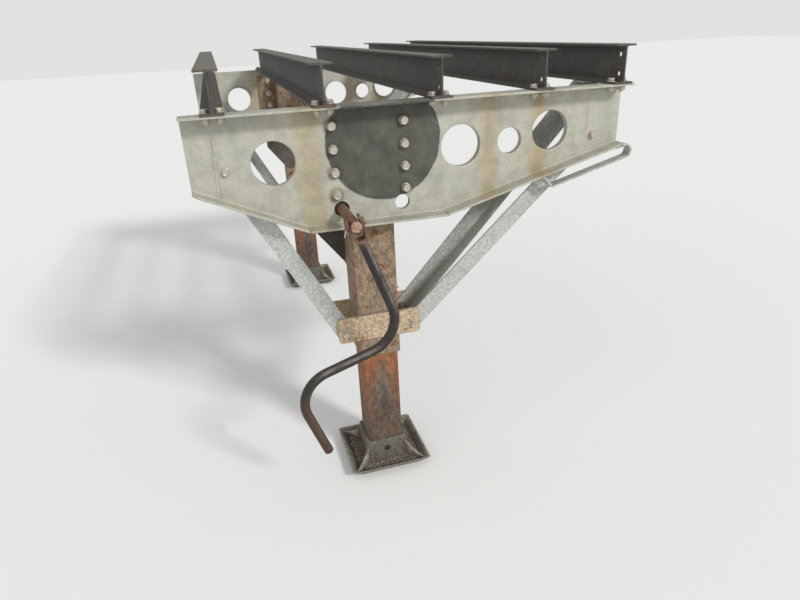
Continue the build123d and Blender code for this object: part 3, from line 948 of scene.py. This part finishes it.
plate_paint = Finish(
    "bracket_paint", rgb(188, 167, 139), rgb(156, 136, 112), mottle=20.0, rough=0.75,
    metal=0.1, runs=0.4, run_tint=rgb(128, 92, 64), rust=0.42, rust_scale=21.0, dust=0.35,
    specks=0.35, wear=0.6, wear_tint=rgb(112, 78, 54), grain=230.0, grain_draw=0.8,
    contrast=0.22, relief=0.0005)
sliding_steel = SlidingSteel(
    "inner_tube_rust", rgb(116, 94, 78), rgb(92, 78, 68), mottle=15.0, rough=0.75,
    metal=0.2, runs=0.3, rust=0.26, rust_scale=19.0, dust=0.24,
    dust_tint=rgb(146, 128, 106), specks=0.2, wear=0.5, wear_tint=rgb(132, 106, 84),
    grain=230.0, grain_draw=0.45, contrast=0.22, relief=0.0006)
shoe_steel = ShoeSteel(
    "shoe_steel", rgb(108, 103, 94), rgb(72, 67, 61), mottle=14.0, rough=0.7, metal=0.2,
    runs=0.4, rust=0.3, rust_scale=15.0, dust=0.45, dust_tint=rgb(138, 126, 108),
    specks=0.3, wear=0.75, grain=200.0, contrast=0.18, relief=0.0008)
crank_steel = CrankSteel(
    "crank_steel", rgb(48, 45, 43), rgb(30, 27, 26), mottle=20.0, rough=0.5, metal=0.4,
    rust=0.28, rust_scale=22.0, dust=0.1, scratch_tint=rgb(140, 122, 106), wear=0.8,
    wear_tint=rgb(158, 134, 112), contrast=0.14, relief=0.0003)
shaft_steel = ShaftSteel(
    "shaft_steel", rgb(122, 94, 76), rgb(86, 64, 52), mottle=26.0, rough=0.6, metal=0.3,
    rust=0.5, rust_scale=20.0, dust=0.15, wear=0.7, wear_tint=rgb(176, 146, 122),
    contrast=0.15)
# Painted shade: the shoe's pin is near black, so that the collar's hole round it reads as in
# shade.
shaded_pin_steel = Finish(
    "shoe_pin_painted_shade", rgb(62, 56, 50), rgb(44, 40, 36), mottle=40.0, rough=0.55,
    metal=0.3, rust=0.3, dust=0.15)
member_paint = Finish(
    "member_black", rgb(74, 73, 70), rgb(60, 59, 57), mottle=8.0, rough=0.7, metal=0.05,
    runs=0.5, rust=0.3, rust_scale=8.0, dust=0.5, dust_tint=rgb(132, 123, 108),
    specks=0.1, wear=0.5, wear_tint=rgb(120, 84, 60))
case_paint = Finish(
    "gear_case_paint", rgb(84, 76, 67), rgb(64, 58, 52), mottle=14.0, rough=0.65,
    metal=0.1, runs=0.4, rust=0.34, rust_scale=16.0, wear=0.6,
    wear_tint=rgb(126, 96, 72), contrast=0.16)
bolt_zinc = Finish(
    "bolt_zinc", rgb(190, 182, 166), rgb(150, 140, 124), mottle=60.0, rough=0.42,
    metal=0.5, rust=0.3, rust_scale=40.0, wear=0.8, wear_tint=rgb(222, 216, 204),
    edge=0.0012)
bolt_dark = Finish(
    "bolt_rust", rgb(132, 116, 100), rgb(96, 80, 66), mottle=60.0, rough=0.6, metal=0.3,
    rust=0.45, rust_scale=40.0, wear=0.7, wear_tint=rgb(178, 160, 138), edge=0.0012)
weld_metal = Finish(
    "weld_metal", rgb(112, 98, 84), rgb(86, 72, 60), mottle=40.0, rough=0.6, metal=0.3,
    rust=0.4, dust=0.5, wear=0.2, edge=0.0006)
bright_zinc = Finish(
    "nipple_zinc", rgb(206, 202, 192), rgb(170, 164, 150), mottle=80.0, rough=0.32,
    metal=0.7, rust=0.12, rust_scale=50.0, dust=0.2, wear=0.3, edge=0.0005)
# Partly painted shade: the soil's base colours are darkened to stand for the shade in the shoe's
# pan.
soil = Soil(
    "dry_soil", rgb(92, 81, 68), rgb(72, 63, 53), mottle=30.0, rough=0.9, metal=0.0,
    runs=0.0, dust=0.2, specks=0.3, wear=0.0, grain=500.0, relief=0.002)

leg_head = HexHead(flats=0.0205, washer=0.0124, low=0.0025).shape()
leg_nut = HexHead(height=0.014, thread=0.0078, thread_height=0.008).shape()
brace_head = HexHead(flats=0.0175, height=0.009, washer=0.0106, low=0.002).shape()
small_head = HexHead(flats=0.019, height=0.008, washer=0.0125, low=0.0022).shape()
small_nut = HexHead(flats=0.019, height=0.010, washer=0.0125, low=0.0022, thread=0.0058,
                    thread_height=0.005).shape()
case_screw = HexHead(flats=0.010, height=0.0045, washer=0.0062, low=0.001, edge=0.0003).shape()
pin_head = HexHead(flats=0.019, height=0.0048, washer=0.0120, low=0.0016).shape()
pin_washer = Shape.turned((
    (0.0111, 0.0, 0), (0.0115, 0.0004, 0), (0.0115, 0.0014, 0), (0.0111, 0.0018, 0)), around=40)
nipple = Shape.turned((
    (0.0050, 0.0, 1), (0.0050, 0.004, 1), (0.0034, 0.0046, 0), (0.0028, 0.0075, 0),
    (0.0036, 0.0088, 0), (0.0036, 0.0104, 0), (0.0022, 0.0122, 0), (0.0009, 0.0128, 0)),
    around=18)


@dataclass
class Assembly:
    """Sub-assembly on one side. Its sizes, places and directions are the near side's."""

    side: Side = Side.NEAR

    def coat(self, finish: Finish, *parts: str) -> None:
        """Gives CAD nodes a finish.

        Args:
            finish: The finish.
            *parts: Nodes that both sides share, or this side's parts.
        """
        for part in parts:
            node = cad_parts.get(part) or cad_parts[self.side.named(part)]
            if not node.material_slots:
                node.data.materials.append(finish.material())
            for place in node.material_slots:
                place.material = finish.material()
            log.info("node %s in %s", node.name, finish.name)

    def bolts(self, name: str, head: Shape, finish: Finish, seed: int, axis: Point,
              places: Sequence[Point], body: str = "frame", slot: Slot = Slot.ZINC) -> None:
        """Makes one piece of the bolts or nuts that lie on one face.

        Args:
            name: Name of the piece, without its side.
            head: Skin of each, about the Z axis.
            finish: Their finish.
            seed: Start of their chance turns.
            axis: Way they point.
            places: Where they lie.
            body: Body that carries them.
            slot: Record's slot of their finish.
        """
        spots = self.side.place(places)
        axes = np.broadcast_to(self.side.turn(axis), spots.shape)
        made = head.copies(spots, axes, seed)
        made.piece(self.side.named(name), finish.material(), body, slot)

    def face_bolts(self, name: str, head: Shape, finish: Finish, seed: int, way: int, y: float,
                   spots: Sequence[Pair], slot: Slot = Slot.ZINC) -> None:
        """Bolts that point one way along Y, on a face at one Y, from pairs of X and Z."""
        places = [(x, y, z) for x, z in spots]
        self.bolts(name, head, finish, seed, (0, way, 0), places, slot=slot)

    def welds(self, name: str, bead: Bead, lines: Sequence, seeds: Sequence[int],
              body: str = "frame", slot: Slot = Slot.ZINC) -> None:
        """Makes one piece of weld beads.

        Args:
            name: Name of the piece.
            bead: Their bead.
            lines: Corners of each line.
            seeds: Start of each bead's chance changes.
            body: Body that carries them.
            slot: Record's slot of their finish.
        """
        beads = [bead.shape(self.side.place(line), seed) for line, seed in zip(lines, seeds)]
        starts = np.cumsum([0] + [len(skin.points) for skin in beads])
        parts = [(skin.points, skin.quads + at, skin.triangles + at)
                 for skin, at in zip(beads, starts)]
        whole = Shape(*map(np.concatenate, zip(*parts)))
        whole.piece(name, weld_metal.material(), body, slot, crease=60.0)


@dataclass
class WingPlate(Assembly):
    """Pressed plate that carries a leg, with the bolts through it and the leg's plate."""

    face: float = 0.0775
    back: float = 0.0635
    bolt_rows: int = 4

    def build(self) -> None:
        """Dresses the plate and sets its bolts, two to a row."""
        self.coat(marked_zinc if self.side is Side.NEAR else zinc, "wing_plate")
        spots = [(x, zinc.bolt_first + zinc.bolt_pitch * row) for row in range(self.bolt_rows)
                 for x in (-zinc.bolt_spread, zinc.bolt_spread)]
        self.face_bolts("leg_bolt_heads", leg_head, bolt_zinc, 3, -1, -self.face, spots)
        self.face_bolts("leg_bolt_nuts", leg_nut, bolt_zinc, 4, 1, -self.back, spots)


@dataclass
class Leg(Assembly):
    """Telescoping leg: tubes, plates and shoe, with their welds, nipple and soil."""

    plate_edge: float = 0.0625
    plate_groove: float = 0.060
    plate_run: Pair = (0.848, 1.125)
    seam_half: float = 0.054
    seam_out: float = 0.064
    plate_low: float = 0.838
    bracket_ends: Pair = (0.475, 0.555)
    case_face: float = 0.0645
    case_line: tuple[Pair, ...] = (
        (-0.0645, 0.700), (-0.0600, 0.6805), (0.0545, 0.6805), (0.0545, 0.830))
    rib_bead: Bead = Bead(radius=0.0032, pitch=0.0045)
    rib_reach: float = 0.0885
    rib_half: float = 0.0052
    rib_top: float = 0.076
    rib_seeds: tuple[int, ...] = (19, 21, 21, 23, 23, 25, 25, 27)
    nipple_place: Point = (0.0635, -0.028, 0.613)
    pan_floor: float = 0.006
    pan_base: float = 0.100
    pan_slope: float = 0.857
    soil_halves: Pair = (0.0657, 0.104)
    soil_corner: float = 1.28
    soil_depth: float = 0.0085
    soil_bank: float = 0.0045
    soil_grid: tuple[int, int] = (22, 144)
    soil_hump: float = 0.0022
    soil_rough: float = 0.12
    soil_waves: tuple[int, ...] = (2, 3, 5, 9, 14, 23)
    soil_twist: float = 3.0
    soil_least: float = 0.0005
    soil_sunk: float = 0.002

    def build(self) -> None:
        """Dresses the leg and adds its welds, nipple and soil."""
        self.coat(leg_paint, "outer_tube", "mount_plate")
        self.coat(plate_paint, "outer_bracket", "inner_bracket")
        self.coat(sliding_steel, "inner_tube")
        self.coat(shoe_steel, "shoe")
        self.coat(shaded_pin_steel, "shoe_pin")
        self.frame_welds()
        self.shoe_welds()
        self.bolts("grease_nipple", nipple, bright_zinc, 2, (1, 0, 0), [self.nipple_place])
        self.pan_soil()

    def frame_welds(self) -> None:
        """Welds of the mounting plate, the brackets and the gear case's plate to the tube."""
        lines = [[(x, -self.plate_groove, z) for z in self.plate_run]
                 for x in (-self.plate_edge, self.plate_edge)]
        seams = [(-self.seam_out, self.plate_low)]
        seams += [(y, z) for y in (-self.seam_out, self.seam_out) for z in self.bracket_ends]
        lines += [[(x, y, z) for x in (-self.seam_half, self.seam_half)] for y, z in seams]
        lines.append([(x, self.case_face, z) for x, z in self.case_line])
        self.welds(self.side.named("leg_welds"), Bead(), lines, range(len(lines)),
                   slot=Slot.LEG)

    def shoe_welds(self) -> None:
        """Welds of the ribs to the collar, one up each side of a rib.

        A rib stands at 45 degrees and at each quarter turn from there. Its welds lie at its
        reach along it, and at its half thickness to either side of it.
        """
        lines = []
        for quarter in range(4):
            angle = radians(45 + 90 * quarter)
            for way in (-1, 1):
                x = cos(angle) * self.rib_reach - sin(angle) * way * self.rib_half
                y = sin(angle) * self.rib_reach + cos(angle) * way * self.rib_half
                lines.append([(x, y, z) for z in (self.pan_floor, self.rib_top)])
        self.welds(self.side.named("shoe_welds"), self.rib_bead, lines, self.rib_seeds,
                   self.side.named("leg"), Slot.RUST)

    def pan_soil(self) -> None:
        """Soil that lies in the shoe's pan, round the collar.

        The layer is a square ring. At angle a and share s from the collar outwards, its plan
        radius is the square's, 1 over the larger of |cos a| and |sin a|, between the two half
        widths. Its top is low humps on a bank that rises with the square of s, and its
        underside follows the pan's floor and slope, a little sunk.
        """
        rows, around = self.soil_grid
        angles = circle(around)
        shares = np.linspace(0, 1, rows)[:, None]
        chance = np.random.default_rng(11 if self.side is Side.NEAR else 12)
        waves = np.zeros(self.soil_grid)
        for count in self.soil_waves:
            turn, lean = chance.uniform(0, 2 * pi, 2)
            waves += np.cos(count * angles + turn + lean * shares * self.soil_twist) / count
        waves += chance.normal(0, self.soil_rough, waves.shape)
        inner, outer = self.soil_halves
        half = inner + (outer - inner) * shares
        slope = np.maximum(half - self.pan_base, 0.0) * self.pan_slope
        bottom = np.broadcast_to(self.pan_floor + slope - self.soil_sunk, waves.shape)
        top = self.pan_floor + self.soil_depth + self.soil_bank * shares ** 2
        top = np.maximum(top + self.soil_hump * waves, bottom + self.soil_least)
        square = 1 / np.maximum(np.abs(np.cos(angles)), np.abs(np.sin(angles)))
        reach = half * np.minimum(square, self.soil_corner)
        upper, lower = (np.stack((reach * np.cos(angles), reach * np.sin(angles), z), axis=-1)
                        for z in (top, bottom))
        grid = np.concatenate((lower, upper[::-1])) + self.side.place((0, 0, 0))
        Shape.loft(grid, closed=True).piece(
            self.side.named("pan_soil"), soil.material(), self.side.named("leg"), Slot.RUST,
            crease=75.0)


@dataclass
class Braces(Assembly):
    """Angle braces of a leg, with the bolts at their ends."""

    face: float = 0.0775
    back: float = 0.0575
    bracket_face: float = 0.0715
    high: tuple[Pair, ...] = ((-0.374, 1.020), (0.672, 1.022))
    low: tuple[Pair, ...] = ((-0.105, 0.505), (0.105, 0.505))

    def build(self) -> None:
        """Dresses the braces and sets their bolts."""
        self.coat(brace_zinc, "left_brace", "right_brace", "inboard_brace")
        for name, head, finish, seed, way, y, spots in (
                ("brace_high_heads", brace_head, bolt_zinc, 5, -1, -self.face, self.high),
                ("brace_low_heads", brace_head, bolt_zinc, 6, -1, -self.bracket_face, self.low),
                ("brace_nuts", leg_nut, bolt_dark, 7, 1, -self.back, self.high + self.low),
                ("inner_brace_head", brace_head, bolt_dark, 8, 1, self.bracket_face,
                 self.low[1:]),
                ("inner_brace_nut", leg_nut, bolt_dark, 9, -1, self.back, self.low[1:])):
            self.face_bolts(name, head, finish, seed, way, y, spots)


@dataclass
class GearTrain(Assembly):
    """Gear case and coupling of a leg.

    The screws' places are X and the height above the shaft.
    """

    flange_face: float = 0.0715
    shaft_height: float = 0.890
    shaft_x: float = -0.086
    screws: tuple[Pair, ...] = (
        (0.0471421356, 0.0531421356), (0.0471421356, -0.0531421356), (-0.003, 0.059),
        (-0.003, -0.059), (0.053, 0.0), (-0.126, 0.0), (-0.086, 0.040), (-0.086, -0.040))
    coupling_face: float = 0.0254
    coupling_bolts: Pair = (0.1565, 0.1965)

    def build(self) -> None:
        """Dresses the case and the coupling, and sets their screws and through bolts."""
        self.coat(case_paint, "gear_case")
        self.coat(shaft_steel, "coupling")
        spots = [(x, self.shaft_height + z) for x, z in self.screws]
        self.face_bolts("case_screws", case_screw, bolt_dark, 31, 1, self.flange_face, spots,
                        Slot.LEG)
        for part, head, way in (("heads", small_head, -1), ("nuts", small_nut, 1)):
            x = self.shaft_x + way * self.coupling_face
            places = [(x, y, self.shaft_height) for y in self.coupling_bolts]
            self.bolts(f"coupling_{part}", head, bolt_dark, 33, (way, 0, 0), places,
                       "crank_line", Slot.DARK)


crank_lean = radians(19.4)


@dataclass
class Crank(Assembly):
    """Crank handle with its pin and holder, and the shafts that it turns.

    The fork's pin points across, and the crank's arm down.
    """

    shaft: Point = (-0.086, -0.2355, 0.890)
    across: Point = (cos(crank_lean), 0.0, sin(crank_lean))
    down: Point = (sin(crank_lean), 0.0, -cos(crank_lean))
    fork_half: float = 0.021
    weld_down: float = 0.0468
    weld_reach: float = 0.0139
    weld_radius: float = 0.0027
    weld_ripple: float = 0.12
    weld_ripples: int = 24
    cotter_out: float = 0.0040
    wire: float = 0.0015
    eye_rise: float = 0.012
    eye_half: float = 0.005
    eye_turn: float = 0.86 * pi
    leg_length: float = 0.026
    leg_spread: float = 0.012
    leg_gap: float = 0.0012
    back_leg: float = 0.1
    wire_points: int = 90
    holder_bead: Bead = Bead(radius=0.0028, pitch=0.0045)
    holder_end: Point = (0.756, -0.100, 0.9898)
    holder_slope: float = 0.2584
    holder_half: float = 0.016
    holder_run: Pair = (0.025, 0.003)

    def build(self) -> None:
        """Dresses the crank and adds its pin's head and washer, its cotter and welds."""
        self.coat(crank_steel, "crank_handle")
        self.coat(shaft_steel, "crank_shaft", "stub_shaft")
        self.coat(bolt_dark, "crank_pin")
        self.coat(brace_zinc, "crank_holder")
        self.coat(member_paint, "cross_shaft")
        for name, head, sign, seed in (("crank_pin_head", pin_head, 1, 41),
                                       ("crank_pin_washer", pin_washer, -1, 42)):
            way = np.array([self.across]) * sign
            made = head.copies(self.shaft + way * self.fork_half, way, seed)
            made.piece(name, bolt_dark.material(), "crank_line", Slot.DARK)
        self.cotter()
        self.fork_weld()
        way = np.array((cos(self.holder_slope), 0.0, sin(self.holder_slope)))
        end = np.array(self.holder_end)
        lines = [[end + (0, beside, 0) - way * back for back in self.holder_run]
                 for beside in (-self.holder_half, self.holder_half)]
        self.welds("holder_welds", self.holder_bead, lines, (50, 51))

    def cotter(self) -> None:
        """Split pin through the pin's end: an eye above it and two legs spread below.

        The wire runs up one leg, round the eye and down the other. Along the wire, from 0 to 1,
        the legs' share is how far a point lies outside the middle third, which is the eye.
        """
        out, up = -np.array((self.across, self.down))
        run = np.linspace(-1, 1, self.wire_points)
        leg = np.clip((np.abs(run) - 1 / 3) * 1.5, 0, 1)
        turn = np.clip(run * 3, -1, 1) * self.eye_turn
        rise = self.eye_rise + self.eye_half * np.cos(turn) - leg * self.leg_length
        swing = self.eye_half * np.sin(turn) * (1 - leg) + np.sign(run) * self.leg_gap * leg
        spread = self.leg_spread * leg ** 2 * np.where(run > 0, 1.0, self.back_leg)
        base = self.shaft + out * (self.fork_half + self.cotter_out)
        path = base + rise[:, None] * up + swing[:, None] * (0, -1, 0) + spread[:, None] * out
        wire = tube(path, np.full(len(path), self.wire))
        wire.piece("crank_cotter", bright_zinc.material(), "crank_line", Slot.DARK)

    def fork_weld(self) -> None:
        """Weld round the rod, where it leaves the fork: a hoop with a ripple every 15 degrees."""
        across, down = np.array((self.across, self.down))
        angles = circle(self.weld_ripples * 3)[:, None]
        ring = np.cos(angles) * across + np.sin(angles) * (0, 1, 0)
        path = self.shaft + down * self.weld_down + self.weld_reach * ring
        ripples = np.cos(angles[:, 0] * self.weld_ripples)
        radii = self.weld_radius * (1 + self.weld_ripple * ripples)
        hoop = tube(path, radii, closed=True)
        hoop.piece("fork_weld", weld_metal.material(), "crank_handle", Slot.DARK, crease=60.0)


@dataclass
class CrossMembers(Assembly):
    """Cross-members' ends, with the bolts that hold the wing plate under them."""

    places: tuple[float, ...] = (-0.383, -0.118, 0.187, 0.479, 0.718)
    flange_top: float = 1.168
    plate_under: float = 1.157
    bolt_out: float = 0.1075
    bolt_half_gap: float = 0.017

    def build(self) -> None:
        """Dresses the members, which both sides share, and sets their bolts."""
        self.coat(member_paint, *(f"cross_member_{n + 1}" for n in range(len(self.places))))
        spots = [x + way * self.bolt_half_gap for x in self.places for way in (-1, 1)]
        for part, head, seed, way, z in (("heads", small_head, 61, 1, self.flange_top),
                                         ("nuts", small_nut, 62, -1, self.plate_under)):
            self.bolts(f"member_bolt_{part}", head, bolt_zinc, seed, (0, 0, way),
                       [(x, -self.bolt_out, z) for x in spots])


@dataclass
class Studio:
    """Pale floor, soft lamps and the camera.

    Each lamp has the way that its light comes from, its strength and its angle in the sky.
    """

    eye: Point = (-0.367, -1.6525, 1.3307)
    lens: float = 27.0
    sensor: float = 36.0
    yaw: float = radians(15.33)
    pitch: float = radians(24.35)
    roll: float = radians(2.78)
    floor_half: float = 30.0
    floor_lines: int = 5
    floor_colour: Colour = rgb(240, 239, 236)
    sky_lit: Colour = (0.96, 0.98, 1.0)
    sky_light: float = 0.6
    sky_shown: Colour = rgb(226, 226, 225)
    key: tuple[Point, float, float] = ((0.62, -1.05, 0.78), 1.9, radians(9))
    fill: tuple[Point, float, float] = ((-1.2, -0.8, 0.9), 0.25, radians(60))

    def build(self) -> None:
        """Sets up the floor, the lamps, the sky and the camera."""
        self.floor()
        self.lamp("key_lamp", *self.key)
        self.lamp("fill_lamp", *self.fill)
        self.sky()
        self.camera()
        bpy.context.scene.view_settings.view_transform = "Standard"

    def floor(self) -> None:
        """Flat pale floor: a grid of points X by Y at height 0."""
        steps = np.linspace(-self.floor_half, self.floor_half, self.floor_lines)
        index = np.arange(self.floor_lines ** 2).reshape(self.floor_lines, -1)
        points = np.stack((*np.meshgrid(steps, steps, indexing="ij"), index * 0.0), axis=-1)
        corners = (index[:-1, :-1], index[1:, :-1], index[1:, 1:], index[:-1, 1:])
        quads = np.stack(corners, axis=-1).reshape(-1, 4)
        material = bpy.data.materials.new("floor")
        material.use_nodes = True
        shader = material.node_tree.nodes["Principled BSDF"]
        feed(shader.inputs["Base Color"], self.floor_colour)
        feed(shader.inputs["Roughness"], 0.9)
        Shape(points.reshape(-1, 3), quads, no_triangles).piece("floor", material)

    def lamp(self, name: str, origin: Point, power: float, size: float) -> None:
        """Far lamp that shines towards the object from one way.

        Args:
            name: Name of the lamp.
            origin: Way that its light comes from.
            power: Its strength.
            size: Angle that it fills in the sky.
        """
        light = bpy.data.lights.new(name, "SUN")
        light.energy = power
        light.angle = size
        turn = Vector(origin).to_track_quat("Z", "Y")
        linked(name, light).matrix_world = turn.to_matrix().to_4x4()

    def sky(self) -> None:
        """World that lights evenly, and shows a pale colour to the camera and in gloss."""
        world = bpy.data.worlds.new("studio")
        world.use_nodes = True
        world.node_tree.nodes.clear()
        bpy.context.scene.world = world
        rays = add(world.node_tree, "ShaderNodeLightPath")
        seen = rays["Is Camera Ray"].max(rays["Is Glossy Ray"].max(rays["Is Transmission Ray"]))
        lit, shown = (rays.add("ShaderNodeBackground", {"Color": colour, "Strength": strength})
                      for colour, strength in ((self.sky_lit, self.sky_light),
                                               (self.sky_shown, 1.0)))
        both = rays.add("ShaderNodeMixShader", {0: seen, 1: lit, 2: shown})
        rays.add("ShaderNodeOutputWorld", {"Surface": both})

    def camera(self) -> None:
        """Camera at the photograph's viewing angle.

        It looks along +Y, and is turned by the roll about its view, the pitch and the yaw.
        """
        lens = bpy.data.cameras.new("camera")
        lens.lens = self.lens
        lens.sensor_width = self.sensor
        turn = Matrix.Translation(self.eye)
        for angle, axis in ((-self.yaw, "Z"), (pi / 2 - self.pitch, "X"), (-self.roll, "Z")):
            turn = turn @ Matrix.Rotation(angle, 4, axis)
        bpy.context.scene.camera = linked("camera", lens)
        bpy.context.scene.camera.matrix_world = turn


def main() -> None:
    """Builds every sub-assembly in order."""
    logging.basicConfig(level=logging.INFO, format="%(message)s")
    parts = [Studio()]
    for kind in (WingPlate, Leg, Braces, GearTrain):
        parts += [kind(side) for side in Side]
    parts += [Crank(), CrossMembers(Side.NEAR), CrossMembers(Side.FAR)]
    for part in parts:
        log.info("building %s", type(part).__name__)
        part.build()


if __name__ == "__main__":
    main()
